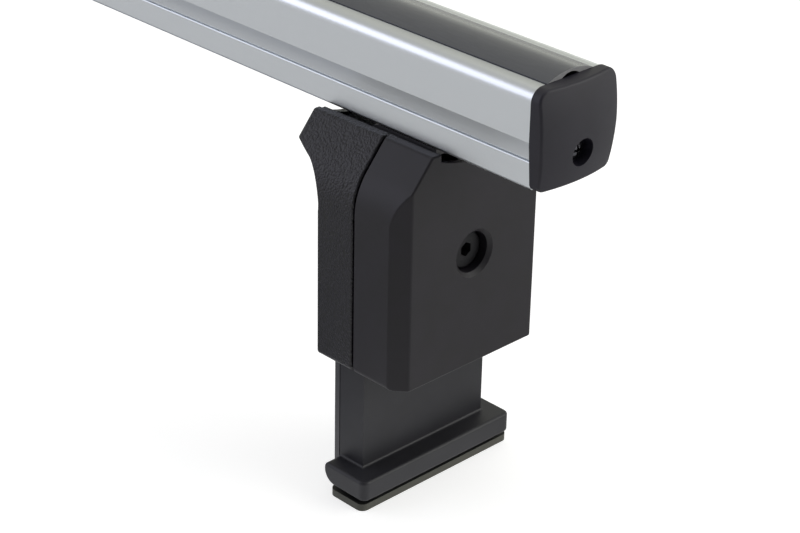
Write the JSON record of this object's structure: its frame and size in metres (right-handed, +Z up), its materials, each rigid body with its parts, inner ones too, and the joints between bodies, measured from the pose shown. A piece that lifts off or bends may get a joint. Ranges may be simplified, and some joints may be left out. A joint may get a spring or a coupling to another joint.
{
  "type": "roof rack crossbar",
  "caption": "Roof rack crossbar: extruded aluminium bar with a snap-in strip over its T-slot, crowned end caps, and sliding feet of moulded shells on bent steel brackets.",
  "frame": {"origin": "middle of the bar's length and width, on the floor under the rubber pads", "axes": "+X along the bar, +Y across it, +Z up from the pads to the bar"},
  "size_m": [1.3688, 0.095, 0.2228],
  "materials": {
    "bar_metal": "satin anodised",
    "strip_rubber": "matte",
    "pad_rubber": "matte",
    "smooth_plastic": "smooth satin",
    "grained_plastic": "fine leather grain",
    "black_steel": "black powder coat",
    "blackened_steel": "black oxide",
    "zinc_steel": "zinc plated"
  },
  "bodies": {
    "bar": {"bar_extrusion": "bar_metal", "slot_strip": "strip_rubber", "right_end_cap": "smooth_plastic", "right_cap_screw": "blackened_steel", "left_end_cap": "smooth_plastic", "left_cap_screw": "blackened_steel"},
    "right_foot": {"right_inner_shell": "grained_plastic", "right_outer_cover": "smooth_plastic", "right_leg_boot": "smooth_plastic", "right_bracket": "black_steel", "right_base_pad": "pad_rubber", "right_cover_screw": "blackened_steel", "right_cover_washer": "blackened_steel", "right_weld_nut": "zinc_steel", "right_t_bolts": "zinc_steel", "right_bolt_washers": "zinc_steel", "right_bolt_nuts": "zinc_steel", "right_fixing_inserts": "zinc_steel"},
    "left_foot": {"left_inner_shell": "grained_plastic", "left_outer_cover": "smooth_plastic", "left_leg_boot": "smooth_plastic", "left_bracket": "black_steel", "left_base_pad": "pad_rubber", "left_cover_screw": "blackened_steel", "left_cover_washer": "blackened_steel", "left_weld_nut": "zinc_steel", "left_t_bolts": "zinc_steel", "left_bolt_washers": "zinc_steel", "left_bolt_nuts": "zinc_steel", "left_fixing_inserts": "zinc_steel"}
  },
  "joints": [
    {"name": "right_foot_slide", "type": "slide", "parent": "bar", "child": "right_foot", "axis": [-1, 0, 0], "range_m": [-0.04, 0.25]},
    {"name": "left_foot_slide", "type": "slide", "parent": "bar", "child": "left_foot", "axis": [1, 0, 0], "range_m": [-0.04, 0.25]}
  ]
}
